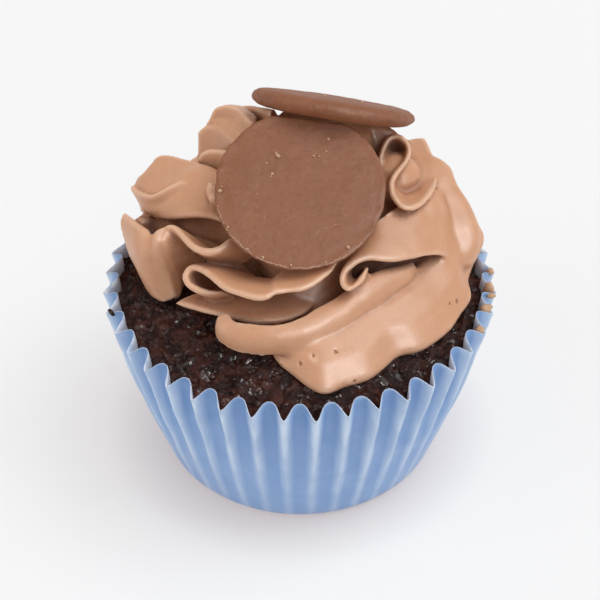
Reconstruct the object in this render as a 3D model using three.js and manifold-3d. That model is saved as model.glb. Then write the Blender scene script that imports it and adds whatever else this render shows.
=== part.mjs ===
// A chocolate cupcake in a pleated paper case, with piped frosting and two chocolate buttons.
// Millimetres, +Z up. The origin is the middle of the case's flat bottom, and -Y is the front.

import * as THREE from 'three';
import { mergeVertices } from 'three/addons/utils/BufferGeometryUtils.js';
import Module from 'manifold-3d';

const wasm = await Module();
wasm.setup();

// Paper case: 40 pleats, whose outer ridges and inner folds end at different heights
const pleatCount = 40;
const floorRadius = 24.4;
const heelRadius = 26.3;
const heelHeight = 2.4;
const ridgeRadius = 36.0;
const ridgeHeight = 35.0;
const foldRadius = 33.3;
const foldHeight = 36.8;
const paper = 0.4;

// Cake, a low dome inside the case
const gap = 0.35;
const cakeRadius = 32.7;
const cakeEdgeHeight = 33.4;
const cakeTopHeight = 41.2;
const cakeShrink = 0.3; // how far the cake draws away from the paper near its edge

// Chocolate buttons: centre, and how far the disc leans to the front and rolls to the left, in degrees
const buttonRadius = 14.9;
const buttonThickness = 3.6;
const frontButton = { centre: [0, -3, 58.7], lean: 29, roll: 0 };
const backButton = { centre: [5.9, 17, 62.5], lean: -34, roll: -10.8 };

// Frosting under the buttons: the peak that the nozzle left, behind the middle
const peak = { centre: [7, 12], profile: [[0, 50], [12, 50], [10.5, 56], [8, 60], [4, 63.5], [0, 64]] };

// Frosting's lowest lip: azimuth, radius and height. It hangs lowest at the front and is missing at the
// left, where the cake shows; round the back it waves by the rule below.
const frontLip = [
  [-150, 12.5, 39.8], [-125, 14, 39.8], [-105, 21.5, 38.4], [-97, 26, 37.6], [-84, 30.5, 36.6],
  [-66, 29.8, 36.8], [-51, 27.8, 37.4], [-41, 30, 37.4], [-16, 31.6, 37.6], [-5, 30.3, 38.2], [12, 34.2, 40],
  [32, 33, 40.5],
];
const leftLip = [[158, 31, 41.5], [173, 28, 40.4], [180, 20, 39.8]];
const backLip = { from: 42, to: 150, crestAt: 38, waveLength: 24, radius: 30.2, wave: 1, height: 40 };

// Frosting's crest over the lip, the hollow behind it, and the core behind that:
// azimuth, crest radius, crest height, hollow height, core radius, core height
const crestRows = [
  [-150, 11, 43, 42, 10, 46],
  [-125, 12, 42, 41, 10, 46],
  [-105, 18, 41.5, 39.5, 11, 46],
  [-90, 22, 43, 39.5, 11, 46],
  [-57, 19, 44, 40.5, 11, 46.5],
  [-20, 21.4, 45, 43.5, 13, 50.5],
  [-6, 24.5, 46.5, 45, 14, 51],
  [25, 27, 51.5, 49, 15, 54],
  [40, 27, 52, 51, 15, 56],
  [55, 27, 47.5, 48, 16, 58],
  [100, 27, 46.5, 47, 16, 58],
  [140, 25.5, 50, 49, 14, 55],
  [162, 25, 48.5, 47.5, 13, 52],
  [172, 23, 46, 45, 12, 50],
  [180, 15, 44.5, 43.5, 11, 48],
];
const footRadius = 30.5; // the frosting stands on the cake no further out than this
const sunk = 1.4; // how deep its foot goes before the cake is cut out of it
const moundBottom = [6, 37];
const coreTop = [[7.5, 55.5], [4, 57.3]];
const moundColumns = 62;

// Folds of the frosting, each a sheet between its free edge and its root, where it joins the rest.
// Both are rows of azimuth, radius and height. A sheet without root rows runs straight in by run, up by
// rise (from start to end), and round by turn, and gather draws its root towards a chord.
const folds = [
  { // band under the front button
    edge: [
      [-119, 22, 43.5], [-126, 22.6, 43], [-122, 24.3, 42.6], [-102, 23.7, 43.4], [-76, 20.9, 44.6],
      [-57, 19.5, 45.2], [-36, 19.6, 45.5], [-20, 21.8, 45.8], [-8, 24.4, 46],
    ],
    run: 8, rise: [-4, -4], lip: 3.4, base: 4, steps: 20,
  },
  { // wedge between the band and the loop
    edge: [[-148, 25.2, 41.5], [-132, 21.5, 42], [-104, 18.6, 42.6], [-67, 15.9, 43.6]],
    run: 9, rise: [0.5, 0.5], lip: 1.6, base: 2, steps: 10,
  },
  { // open loop at the left
    edge: [
      [-130, 19.4, 46.3], [-141, 23.1, 46.3], [-150, 23.8, 47.1], [-152, 22, 48], [-143, 20.9, 48.6],
      [-124, 22.1, 49.4], [-107, 22, 49.7], [-90, 19.6, 50.1], [-71, 16.3, 51.2], [-62, 14.1, 51.8],
    ],
    run: 9, rise: [-7, 0.5], lip: 1.5, base: 1.5, steps: 30,
  },
  { // curl under the front button's right side
    edge: [
      [-12, 26.5, 48.2], [-24, 22.9, 49], [-41, 18.3, 50.2], [-57, 16.1, 51], [-65, 16.9, 50.4],
      [-66, 18.9, 49.4], [-59, 18.7, 49.2], [-46, 16.9, 49.6],
    ],
    root: [
      [17, 26.6, 51.8], [3, 20.2, 53.2], [-17, 14, 52.4], [-27, 11.9, 48.5], [-30, 10.1, 43],
      [-38, 11.4, 41], [-35, 12.4, 41], [-21, 12.3, 42],
    ],
    lip: 1.4, base: 1.8, steps: 24,
  },
  { // double curl at the right
    edge: [
      [25, 15.5, 57], [32, 17.4, 58.6], [34, 20.8, 60], [26, 21.6, 59], [13, 17.2, 57.8], [-3, 16.2, 56.8],
      [-9, 17.2, 56], [-10, 18.9, 55.2], [0, 22.6, 54.4], [15.5, 25.8, 54],
    ],
    root: [
      [41, 18.8, 51], [44, 22.9, 51], [39, 24.1, 51], [34, 20.9, 50.5], [23, 19.9, 50.6], [18.6, 20.9, 51.2],
      [20.7, 25, 52.2],
    ],
    lip: 1.4, base: 1.8, steps: 28,
  },
  { // petal beside the front button's left side
    edge: [[-142, 13.7, 53], [-140, 15.8, 52.8], [-150, 19.3, 52], [-167, 21.5, 51.8], [-171, 24.6, 51.2]],
    run: 5, rise: [-5.5, -5.5], gather: 0.2, lip: 1.9, base: 2.6, steps: 9,
  },
  { // front wall of the left lobe
    edge: [
      [-169, 22.2, 52], [-170, 24.9, 50.5], [-168, 25.5, 48.5], [-162, 24.8, 42.5], [-160.6, 24.1, 38.5],
    ],
    root: [
      [173, 29.5, 49], [173, 31.6, 45.5], [176, 31, 43], [-172, 27.8, 38], [-164, 25.8, 37.2],
    ],
    lip: 1.8, base: 2.6, bulge: 3, steps: 10,
  },
  { // back wall of the left lobe
    edge: [[172, 29, 48.6], [172.5, 31, 45.5], [175, 30.5, 43], [-173, 27.4, 38.4], [-165, 25.4, 37.6]],
    root: [[160, 25, 48], [162, 27, 45], [166, 27, 42], [176, 23, 39.5], [183, 20, 39]],
    lip: 2.6, base: 4, steps: 8,
  },
  { // lower side of the left horn
    edge: [[153.5, 33.5, 47.5], [166.5, 28.3, 47.5], [-179.4, 21.4, 49], [-160, 16.5, 51.5]],
    root: [[151.6, 32.6, 48], [164, 26.7, 49], [164.6, 25.2, 50], [156.3, 19.7, 55]],
    lip: 1.8, base: 3.5, bulge: 0.8, steps: 10,
  },
  { // upper side of the left horn
    edge: [[153.3, 33.3, 47.5], [149.3, 31.4, 49], [146.7, 31.2, 50], [144.8, 28, 51.5], [148.5, 22, 54]],
    root: [[157.6, 31.7, 47], [164.7, 26.8, 49], [164.6, 25.2, 50], [157, 20.4, 54.5]],
    lip: 3, base: 3, bulge: 0.5, steps: 9,
  },
  { // flat face below the double curl
    edge: [[40.5, 23.9, 54.5], [41.8, 27, 54.2], [40.4, 29.1, 54], [28.9, 27.6, 53], [19, 26.5, 52.6]],
    root: [[34.3, 21.4, 54], [22.3, 20.8, 52.5], [17.4, 23.7, 52]],
    lip: 2, base: 3, steps: 9,
  },
  { // nub behind the petal
    edge: [[169.8, 16.5, 56.5], [174.4, 16.7, 55.5], [-178, 15.9, 55]],
    run: 3, rise: [-1, -1], turn: 3, lip: 2.4, base: 3, steps: 4,
  },
];

// Ribs that climb to the peak at the back left: azimuth, outer radius, outer height, inner height
const ribRows = [[141, 24, 54, 58], [129, 29, 53.5, 59], [120, 29.3, 55, 60], [110.5, 27.5, 56.5, 61]];

// Ruffle round the back, one tier above the lip
const ruffle = {
  from: 40, to: 134, waveLength: 24,
  radius: 29.3, radiusWave: 1.6, widestAt: 51,
  height: 49.3, heightWave: 1.3, highestAt: 45,
};

function mix(a, b, t) {
  return a + (b - a) * t;
}

function polar(azimuth, radius, height) {
  const angle = THREE.MathUtils.degToRad(azimuth);
  return new THREE.Vector3(radius * Math.cos(angle), radius * Math.sin(angle), height);
}

// A wave between -1 and 1 round the cupcake, with its length and one of its crests in degrees
function waveAt(azimuth, waveLength, crestAt) {
  return Math.cos(2 * Math.PI * (azimuth - crestAt) / waveLength);
}

// A smooth curve through rows of azimuth, radius and height, cut into even steps
function curveThrough(rows, steps) {
  const points = rows.map((row) => polar(...row));
  return new THREE.CatmullRomCurve3(points, false, 'centripetal').getSpacedPoints(steps);
}

// A function that gives the values of rows at any azimuth, smoothly all the way round
function around(rows) {
  const rowsTurned = (turn) => rows.map(([azimuth, ...values]) => [azimuth + turn, ...values]);
  const turns = [-360, 0, 360].flatMap(rowsTurned);
  const size = rows[0].length - 1;
  const azimuths = turns.map((row) => row[0]);
  const table = new THREE.CubicInterpolant(azimuths, turns.flatMap((row) => row.slice(1)), size, []);
  return (azimuth) => [...table.evaluate(azimuth)];
}

// A closed surface over rings with equal numbers of points. Each end is filled round its middle.
function skin(rings) {
  const count = rings[0].length;
  const positions = rings.flat().flatMap((point) => point.toArray());
  const index = [];
  for (let row = 0; row + 1 < rings.length; row++) {
    for (let k = 0; k < count; k++) {
      const a = row * count + k;
      const b = row * count + ((k + 1) % count);
      index.push(a, b, a + count);
      index.push(b, b + count, a + count);
    }
  }
  for (const row of [0, rings.length - 1]) {
    const middle = new THREE.Vector3();
    rings[row].forEach((point) => middle.addScaledVector(point, 1 / count));
    const centre = positions.length / 3;
    positions.push(...middle.toArray());
    for (let k = 0; k < count; k++) {
      const a = row * count + k;
      const b = row * count + ((k + 1) % count);
      index.push(centre, ...(row === 0 ? [b, a] : [a, b]));
    }
  }
  const geometry = new THREE.BufferGeometry();
  geometry.setAttribute('position', new THREE.Float32BufferAttribute(positions, 3));
  geometry.setIndex(index);
  return geometry;
}

function solidOf(positions, corners) {
  return new wasm.Manifold(new wasm.Mesh({
    numProp: 3,
    vertProperties: new Float32Array(positions),
    triVerts: new Uint32Array(corners),
  }));
}

// A closed geometry as a solid, its triangles turned to face out where they face in
function toSolid(geometry) {
  const bare = geometry.clone();
  bare.deleteAttribute('normal');
  bare.deleteAttribute('uv');
  const merged = mergeVertices(bare, 1e-4);
  const positions = merged.attributes.position.array;
  const corners = Array.from(merged.index.array);
  const solid = solidOf(positions, corners);
  return solid.volume() < 0 ? solidOf(positions, corners.reverse()) : solid;
}

function toGeometry(solid) {
  const mesh = solid.getMesh();
  const geometry = new THREE.BufferGeometry();
  geometry.setAttribute('position', new THREE.Float32BufferAttribute(mesh.vertProperties, 3));
  geometry.setIndex(Array.from(mesh.triVerts));
  geometry.computeVertexNormals();
  return geometry;
}

// Radius and height on the case's wall: reach is 0 at the heel and 1 at the rim, and fold is 0 on a
// ridge and 1 on an inner fold.
function wallPoint(reach, fold) {
  const depth = fold * Math.sqrt(reach);
  const radius = mix(heelRadius, mix(ridgeRadius, foldRadius, depth), reach);
  const height = mix(heelHeight, mix(ridgeHeight, foldHeight, depth), reach);
  return { radius, height };
}

// One ring round the wall, set in by inset
function wallRing(reach, columnsPerPleat, inset) {
  const count = pleatCount * columnsPerPleat;
  return Array.from({ length: count }, (_, column) => {
    const fold = 0.5 + 0.5 * Math.cos(2 * Math.PI * column / columnsPerPleat);
    const { radius, height } = wallPoint(reach, fold);
    return polar(-90 + 360 * column / count, radius - inset, height);
  });
}

function levelRing(count, radius, height) {
  return Array.from({ length: count }, (_, k) => polar(-90 + 360 * k / count, radius, height));
}

function paperCase() {
  const perPleat = 4;
  const count = pleatCount * perPleat;
  const reaches = [0.12, 0.5, 1];
  const outside = reaches.map((reach) => wallRing(reach, perPleat, 0));
  const inside = reaches.map((reach) => wallRing(reach, perPleat, paper)).reverse();
  return skin([
    levelRing(count, floorRadius, 0),
    levelRing(count, heelRadius - 0.6, 0.9),
    ...outside,
    ...inside,
    levelRing(count, heelRadius - 0.6 - paper, 1.1),
    levelRing(count, floorRadius - paper, paper),
  ]);
}

// Height of the cake's top at a radius
function cakeTop(radius) {
  const share = Math.min(radius / cakeRadius, 1);
  return mix(cakeTopHeight, cakeEdgeHeight, share * share);
}

function cake() {
  const perPleat = 2;
  const count = pleatCount * perPleat;
  const inset = paper + gap;
  return skin([
    levelRing(count, floorRadius - inset, inset),
    ...[0.12, 0.5].map((reach) => wallRing(reach, perPleat, inset)),
    wallRing(0.86, perPleat, inset + cakeShrink),
    ...[31.2, 23, 13].map((radius) => levelRing(count, radius, cakeTop(radius))),
  ]);
}

// The lip's rows all the way round
function lipRows() {
  const { from, to, crestAt, waveLength, radius, wave, height } = backLip;
  const back = [];
  for (let azimuth = from; azimuth <= to; azimuth += waveLength / 4) {
    back.push([azimuth, radius + wave * waveAt(azimuth, waveLength, crestAt), height]);
  }
  return [...frontLip, ...back, ...leftLip];
}

// The frosting's lowest layer and core: one upright section for each column
function mound() {
  const lipAt = around(lipRows());
  const crestAt = around(crestRows);
  const columns = Array.from({ length: moundColumns }, (_, k) => {
    const azimuth = -180 + 360 * k / moundColumns;
    const [lipRadius, lipHeight] = lipAt(azimuth);
    const [crestRadius, crestHeight, hollowHeight, coreRadius, coreHeight] = crestAt(azimuth);
    const under = Math.min(lipRadius - 2.2, footRadius);
    const behind = crestRadius - 2.2;
    return [
      moundBottom,
      [under, cakeTop(under) - sunk],
      [lipRadius - 0.6, lipHeight - 0.9],
      [lipRadius, lipHeight],
      [lipRadius - 0.5, lipHeight + 1.3],
      [mix(lipRadius, crestRadius, 0.35), mix(lipHeight, crestHeight, 0.62)],
      [mix(lipRadius, crestRadius, 0.7), mix(lipHeight, crestHeight, 0.92)],
      [crestRadius, crestHeight],
      [behind, hollowHeight],
      [mix(behind, coreRadius, 0.5), mix(hollowHeight, coreHeight, 0.25)],
      [coreRadius, coreHeight],
      ...coreTop,
    ].map(([radius, height]) => polar(azimuth, radius, height));
  });
  return skin(columns[0].map((_, row) => columns.map((column) => column[row])));
}

// The root of a fold that has no rows of its own: its edge drawn towards its chord, then moved
function rootOf(edge, { run, rise, turn = 0, gather = 0 }) {
  const last = edge.length - 1;
  return edge.map((point, k) => {
    const chord = edge[0].clone().lerp(edge[last], k / last);
    const drawn = point.clone().lerp(chord, gather);
    const azimuth = THREE.MathUtils.radToDeg(Math.atan2(drawn.y, drawn.x)) + turn;
    return polar(azimuth, Math.hypot(drawn.x, drawn.y) - run, drawn.z + mix(...rise, k / last));
  });
}

const rootShare = 0.6; // how much a sheet's face follows its root's course, beside its edge's
const noseReach = Math.cos(Math.PI / 6); // a lip's round nose is drawn with points at 30 degrees

// A sheet with a round lip, from its edge down to its root
function foldedSheet(fold) {
  const edge = curveThrough(fold.edge, fold.steps);
  const root = fold.root ? curveThrough(fold.root, fold.steps) : rootOf(edge, fold);
  const bulge = fold.bulge ?? 0;
  const shares = bulge ? [0, 0.5, 1] : [0, 1];
  const lipRadius = fold.lip / 2;
  const rings = edge.map((tip, k) => {
    const before = Math.max(k - 1, 0);
    const after = Math.min(k + 1, fold.steps);
    const along = edge[after].clone().sub(edge[before]);
    along.addScaledVector(root[after].clone().sub(root[before]), rootShare);
    const out = tip.clone().sub(root[k]);
    const length = out.length();
    out.normalize();
    const normal = along.cross(out).normalize();
    const place = (share, side, beyond = 0) => {
      const reach = share * (1 - lipRadius / length);
      const offset = side * mix(fold.base / 2, lipRadius, share) + 4 * bulge * reach * (1 - reach);
      return root[k].clone().addScaledVector(out, reach * length + beyond).addScaledVector(normal, offset);
    };
    return [
      ...shares.map((share) => place(share, -1)),
      place(1, -0.5, noseReach * lipRadius),
      place(1, 0.5, noseReach * lipRadius),
      ...shares.map((share) => place(share, 1)).reverse(),
    ];
  });
  return skin(rings);
}

function rib([azimuth, radius, outerHeight, innerHeight]) {
  return foldedSheet({
    edge: [
      [azimuth + 1.5, radius, outerHeight],
      [azimuth - 1, radius - 1.5, outerHeight + 2],
      [azimuth - 1, mix(radius, 16, 0.6), innerHeight - 1],
      [azimuth + 1.5, 16, innerHeight],
    ],
    run: 3, rise: [-8.5, -8.5], turn: 5, lip: 2.2, base: 4, steps: 7,
  });
}

function ruffleSheet() {
  const { from, to, waveLength } = ruffle;
  const edge = [];
  for (let azimuth = from; azimuth <= to; azimuth += waveLength / 4) {
    edge.push([
      azimuth,
      ruffle.radius + ruffle.radiusWave * waveAt(azimuth, waveLength, ruffle.widestAt),
      ruffle.height + ruffle.heightWave * waveAt(azimuth, waveLength, ruffle.highestAt),
    ]);
  }
  return foldedSheet({ edge, run: 9, rise: [-1, -1], lip: 2.2, base: 5, steps: 28 });
}

function latheAbout(profile, segments) {
  const geometry = new THREE.LatheGeometry(profile.map(([x, y]) => new THREE.Vector2(x, y)), segments);
  return geometry.rotateX(Math.PI / 2);
}

function peakOfFrosting() {
  return latheAbout(peak.profile, 16).translate(...peak.centre, 0);
}

function button({ centre, lean, roll }, grow = 0) {
  const r = buttonRadius + grow;
  const h = buttonThickness / 2 + grow;
  const profile = [
    [0, -h], [r - 0.9, -h], [r - 0.1, -h + 0.7], [r, -0.2],
    [r - 0.4, h - 0.9], [r - 1.4, h - 0.3], [r - 3.4, h], [0, h],
  ];
  const geometry = latheAbout(profile, 32);
  geometry.rotateX(THREE.MathUtils.degToRad(lean));
  geometry.rotateY(THREE.MathUtils.degToRad(-roll));
  return geometry.translate(...centre);
}

// All of the frosting as one body, clear of the cake and of the buttons that are pressed into it
function frosting() {
  const pieces = [mound(), peakOfFrosting(), ruffleSheet(), ...folds.map(foldedSheet), ...ribRows.map(rib)];
  let solid = pieces.map(toSolid).reduce((joined, piece) => joined.add(piece));
  solid = solid.subtract(toSolid(cake().translate(0, 0, 0.3)));
  for (const place of [frontButton, backButton]) {
    solid = solid.subtract(toSolid(button(place, 0.3)));
  }
  const bodies = solid.decompose().sort((a, b) => b.volume() - a.volume());
  return toGeometry(bodies[0]);
}

function paperMaterial() {
  return new THREE.MeshStandardMaterial({ color: 0x7aa3d6, roughness: 0.75, metalness: 0 });
}

function cakeMaterial() {
  return new THREE.MeshStandardMaterial({ color: 0x2a1512, roughness: 0.6, metalness: 0 });
}

function frostingMaterial() {
  return new THREE.MeshStandardMaterial({ color: 0xb08a70, roughness: 0.45, metalness: 0 });
}

function buttonMaterial() {
  return new THREE.MeshStandardMaterial({ color: 0x7d4a38, roughness: 0.5, metalness: 0 });
}

function namedMesh(name, geometry, material) {
  const mesh = new THREE.Mesh(geometry, material);
  mesh.name = name;
  return mesh;
}

const group = new THREE.Group();
group.add(namedMesh('paper_case', paperCase(), paperMaterial()));
group.add(namedMesh('cake', cake(), cakeMaterial()));
group.add(namedMesh('frosting', frosting(), frostingMaterial()));
group.add(namedMesh('button_front', button(frontButton), buttonMaterial()));
group.add(namedMesh('button_back', button(backButton), buttonMaterial()));

export default group;
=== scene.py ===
import bpy
import math
import random
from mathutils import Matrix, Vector
from mathutils.bvhtree import BVHTree
from mathutils.geometry import interpolate_bezier


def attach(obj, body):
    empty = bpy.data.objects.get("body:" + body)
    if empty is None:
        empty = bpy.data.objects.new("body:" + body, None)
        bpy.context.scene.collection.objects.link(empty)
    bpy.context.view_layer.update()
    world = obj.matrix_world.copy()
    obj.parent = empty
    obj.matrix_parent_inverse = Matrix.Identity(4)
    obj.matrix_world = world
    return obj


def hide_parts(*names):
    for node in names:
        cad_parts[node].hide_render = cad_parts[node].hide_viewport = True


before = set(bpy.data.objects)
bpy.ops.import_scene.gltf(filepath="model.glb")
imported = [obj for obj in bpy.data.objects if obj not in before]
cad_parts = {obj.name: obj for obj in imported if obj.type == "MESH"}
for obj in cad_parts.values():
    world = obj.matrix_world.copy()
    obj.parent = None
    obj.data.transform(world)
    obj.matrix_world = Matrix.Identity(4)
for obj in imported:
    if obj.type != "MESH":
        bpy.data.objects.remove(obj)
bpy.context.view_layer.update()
mm = 0.001
print("frame loaded:", sorted(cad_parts))


def pick(piece):
    bpy.ops.object.select_all(action="DESELECT")
    piece.select_set(True)
    bpy.context.view_layer.objects.active = piece


def editAll(piece):
    pick(piece)
    bpy.ops.object.mode_set(mode="EDIT")
    bpy.ops.mesh.select_all(action="SELECT")


def doneEditing():
    bpy.ops.object.mode_set(mode="OBJECT")


def faceOutwards():  # in edit mode
    bpy.ops.mesh.select_all(action="SELECT")
    bpy.ops.mesh.normals_make_consistent(inside=False)


def selectVertices(piece, wanted):  # in edit mode: only the vertices that wanted(co) takes
    bpy.ops.mesh.select_all(action="DESELECT")
    bpy.ops.object.mode_set(mode="OBJECT")
    for vertex in piece.data.vertices:
        vertex.select = wanted(vertex.co)
    bpy.ops.object.mode_set(mode="EDIT")


def polar(azimuth, radius, height):  # degrees and millimetres to a point in metres
    angle = math.radians(azimuth)
    return Vector((radius * math.cos(angle), radius * math.sin(angle), height)) * mm


def azimuthOf(co):
    return math.degrees(math.atan2(co.y, co.x))


def modify(piece, kind, **settings):
    modifier = piece.modifiers.new(kind.lower(), kind)
    for name, value in settings.items():
        setattr(modifier, name, value)


def applyModifiers(piece):
    pick(piece)
    for modifier in list(piece.modifiers):
        bpy.ops.object.modifier_apply(modifier=modifier.name)


def bakePlace(piece):
    pick(piece)
    bpy.ops.object.transform_apply(location=True, rotation=True, scale=True)


def joined(pieces):
    pick(pieces[0])
    for piece in pieces[1:]:
        piece.select_set(True)
    if len(pieces) > 1:
        bpy.ops.object.join()
    return pieces[0]


def roughen(piece, name, relief, group="", depth=2):  # relief is a size and a height in millimetres
    size, height = relief
    texture = bpy.data.textures.new(name, "CLOUDS")
    texture.noise_scale = size * mm
    texture.noise_depth = depth
    modify(piece, "DISPLACE", texture=texture, strength=height * mm, texture_coords="LOCAL",
           vertex_group=group)


def paint(piece, name, values):  # a value at each vertex for the materials to read
    attribute = piece.data.attributes.new(name, "FLOAT", "POINT")
    attribute.data.foreach_set("value", values)


def finishPiece(piece, name, look, slotName, *nodes):
    bakePlace(piece)
    bpy.ops.object.shade_smooth()
    piece.name = piece.data.name = name
    piece.data.materials.clear()
    piece.data.materials.append(look)
    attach(piece, "root")
    if nodes:
        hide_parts(*nodes)
    return piece


class Link:  # a socket that can be used in sums

    def __init__(self, shader, socket):
        self.shader = shader
        self.socket = socket

    def maths(self, operation, first, second):
        return self.shader.node("Math", {"operation": operation}, {0: first, 1: second})

    def __add__(self, other):
        return self.maths("ADD", self, other)

    def __radd__(self, other):
        return self.maths("ADD", other, self)

    def __sub__(self, other):
        return self.maths("SUBTRACT", self, other)

    def __rsub__(self, other):
        return self.maths("SUBTRACT", other, self)

    def __mul__(self, other):
        return self.maths("MULTIPLY", self, other)

    def __rmul__(self, other):
        return self.maths("MULTIPLY", other, self)

    def __truediv__(self, other):
        return self.maths("DIVIDE", self, other)


class Shader:

    def __init__(self, name):
        self.material = bpy.data.materials.new(name)
        self.material.use_nodes = True
        self.tree = self.material.node_tree
        self.surface = self.tree.nodes["Principled BSDF"]

    def feed(self, socket, value):
        if isinstance(value, Link):
            self.tree.links.new(value.socket, socket)
        elif isinstance(value, tuple) and len(value) == 3 and len(socket.default_value) == 4:
            socket.default_value = (*value, 1)
        else:
            socket.default_value = value

    def node(self, kind, settings=None, sockets=None, output=0):
        made = self.tree.nodes.new("ShaderNode" + kind)
        for name, value in (settings or {}).items():
            if name == "stops":
                self.setStops(made.color_ramp, value)
            else:
                setattr(made, name, value)
        for name, value in (sockets or {}).items():
            self.feed(made.inputs[name], value)
        return Link(self, made.outputs[output])

    def setStops(self, ramp, stops):
        while len(ramp.elements) < len(stops):
            ramp.elements.new(0.5)
        for element, (place, value) in zip(ramp.elements, stops):
            element.position = place
            element.color = (value, value, value, 1)

    def place(self):
        return self.node("TexCoord", output="Object")

    def noise(self, size, detail=3, rough=0.5, stretch=None):  # size in millimetres
        place = self.place()
        if stretch:
            place = self.node("Mapping", {}, {"Vector": place, "Scale": stretch})
        sockets = {"Vector": place, "Scale": 1 / (size * mm), "Detail": detail, "Roughness": rough}
        return self.node("TexNoise", {}, sockets)

    def cells(self, size):
        return self.node("TexVoronoi", {}, {"Vector": self.place(), "Scale": 1 / (size * mm)}, "Distance")

    def painted(self, name):
        return self.node("Attribute", {"attribute_name": name}, output="Fac")

    def ramp(self, value, *stops):
        return self.node("ValToRGB", {"stops": stops}, {"Fac": value})

    def mix(self, share, first, second):  # 6, 7 and 2 are the node's sockets for colours
        return self.node("Mix", {"data_type": "RGBA"}, {0: share, 6: first, 7: second}, 2)

    def coats(self, colour, tones, **masks):  # each mask lays its tone over the colour by its share
        for name, mask in masks.items():
            share, tone = tones[name]
            colour = self.mix(mask * share, colour, tone)
        return colour

    def relief(self, *layers):  # each a height, its strength and its depth in millimetres
        normal = None
        for height, strength, depth in layers:
            sockets = {"Height": height, "Strength": strength, "Distance": depth * mm}
            if normal:
                sockets["Normal"] = normal
            normal = self.node("Bump", {}, sockets)
        return normal

    def finish(self, **sockets):
        for name, value in sockets.items():
            self.feed(self.surface.inputs[name.replace("_", " ")], value)
        return self.material


paperTones = {  # two of its own, then the share and the colour of what lies over them
    "base": [(0.165, 0.335, 0.67), (0.245, 0.425, 0.745)],
    # painted shade: the paper is darkened towards the rim
    "height": (0.5, (0.105, 0.245, 0.52)),
    # painted highlight along the ridges
    "pale": (1, (0.66, 0.79, 0.95)),
    "inside": (0.8, (0.72, 0.76, 0.88)),
    "fibres": (0.14, (0.60, 0.72, 0.88)),
}


def paperLook():  # greaseproof: blotches and fibres, paler inside; painted shade darkens it towards the rim, and a painted highlight pales its ridges, more towards the rim
    shader = Shader("bluePaper")
    inside = shader.painted("inside")
    bends = shader.ramp(shader.painted("ridge"), (0.42, 0), (0.94, 1))
    height = shader.node("SeparateXYZ", {}, {"Vector": shader.place()}, "Z") / (case["ridgeTop"][1] * mm)
    blotches = shader.ramp(shader.noise(6, 4, 0.55), (0.38, 0), (0.66, 1))
    streaks = shader.ramp(shader.noise(2.4, 3, 0.5, (1, 1, 0.2)), (0.42, 0), (0.64, 1))
    fibres = shader.noise(0.5, 4, 0.7)
    # painted highlight: paler along the ridges, stronger towards the rim
    pale = bends * (0.6 + 0.4 * streaks) * (0.35 + 0.65 * height)
    colour = shader.mix(blotches * 0.6, *paperTones["base"])
    colour = shader.coats(colour, paperTones, height=height, pale=pale, inside=inside, fibres=fibres)
    relief = shader.relief((fibres, 0.25, 0.1), (streaks, 0.25, 0.2))
    return shader.finish(Base_Color=colour, Roughness=0.52 - 0.16 * blotches, Normal=relief,
                         Sheen_Weight=0.15)


spongeTones = {
    "base": [(0.005, 0.0012, 0.001), (0.036, 0.0085, 0.0055)],
    "torn": (0.75, (0.088, 0.022, 0.0125)),
}


def spongeLook():  # moist dark crumb: reddish where it is torn, glints where it is wet
    shader = Shader("darkSponge")
    grain = shader.noise(0.45, 5, 0.7)
    flakes = shader.cells(0.7)
    torn = shader.ramp(shader.noise(3.2, 4, 0.6), (0.44, 0), (0.62, 1))
    wet = shader.ramp(shader.noise(1.7, 4, 0.6), (0.52, 0), (0.59, 1))
    colour = shader.coats(shader.mix(grain, *spongeTones["base"]), spongeTones, torn=torn)
    relief = shader.relief((grain - flakes * 0.5, 0.9, 0.3))
    return shader.finish(Base_Color=colour, Roughness=0.60 - 0.36 * wet, Normal=relief,
                         Specular_IOR_Level=0.2, Coat_Weight=0.6 * wet, Coat_Roughness=0.22)


creamTones = {
    "base": [(0.585, 0.292, 0.157), (0.70, 0.37, 0.215)],
    "clouds": (0.4, (0.66, 0.342, 0.2)),
    # painted shade in the hollows
    "hollows": (0.6, (0.34, 0.14, 0.07)),
    # painted highlight on thin lips and ridges
    "lips": (0.65, (0.84, 0.54, 0.37)),
    # painted shade where other folds close over the cream
    "deep": (0.68, (0.20, 0.074, 0.034)),
    "speckle": (0.25, (0.28, 0.13, 0.065)),
}


def buttercreamLook():  # whipped and piped: faint streaks, satin; painted highlight on thin lips, painted shade in the hollows and where other folds close over it, which is also duller there
    shader = Shader("chocolateButtercream")
    bend = shader.painted("bend")
    # painted shade: darker and duller where other folds stand close over the surface
    deep = shader.ramp(shader.painted("deep"), (0.17, 0), (0.56, 1))
    # painted highlight: paler where the cream bends outwards, on lips and ridges
    lips = shader.ramp(bend, (0.56, 0), (0.80, 1))
    # painted shade: darker where the cream bends inwards
    hollows = shader.ramp(bend, (0.28, 1), (0.46, 0))
    streaks = shader.noise(2.2, 3, 0.55, (0.35, 0.35, 1.6))
    clouds = shader.noise(8, 3)
    speckle = shader.ramp(shader.noise(0.3, 2), (0.28, 1), (0.38, 0))
    pits = shader.ramp(shader.cells(0.9), (0.05, 1), (0.13, 0))
    grain = shader.noise(0.4, 3, 0.7)
    colour = shader.mix(streaks, *creamTones["base"])
    colour = shader.coats(colour, creamTones, clouds=clouds, hollows=hollows, lips=lips, deep=deep,
                          speckle=speckle)
    roughness = 0.36 + 0.12 * clouds + 0.6 * deep
    relief = shader.relief((streaks, 0.2, 0.25), (grain, 0.6, 0.1), (1 - pits, 0.25, 0.06))
    return shader.finish(Base_Color=colour, Roughness=roughness, Normal=relief, Specular_IOR_Level=0.45,
                         Coat_Weight=0.2 * (1 - deep) * (1 - deep), Coat_Roughness=0.36,
                         Subsurface_Weight=0.15, Subsurface_Radius=(2.4, 1.0, 0.5), Subsurface_Scale=mm)


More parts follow.
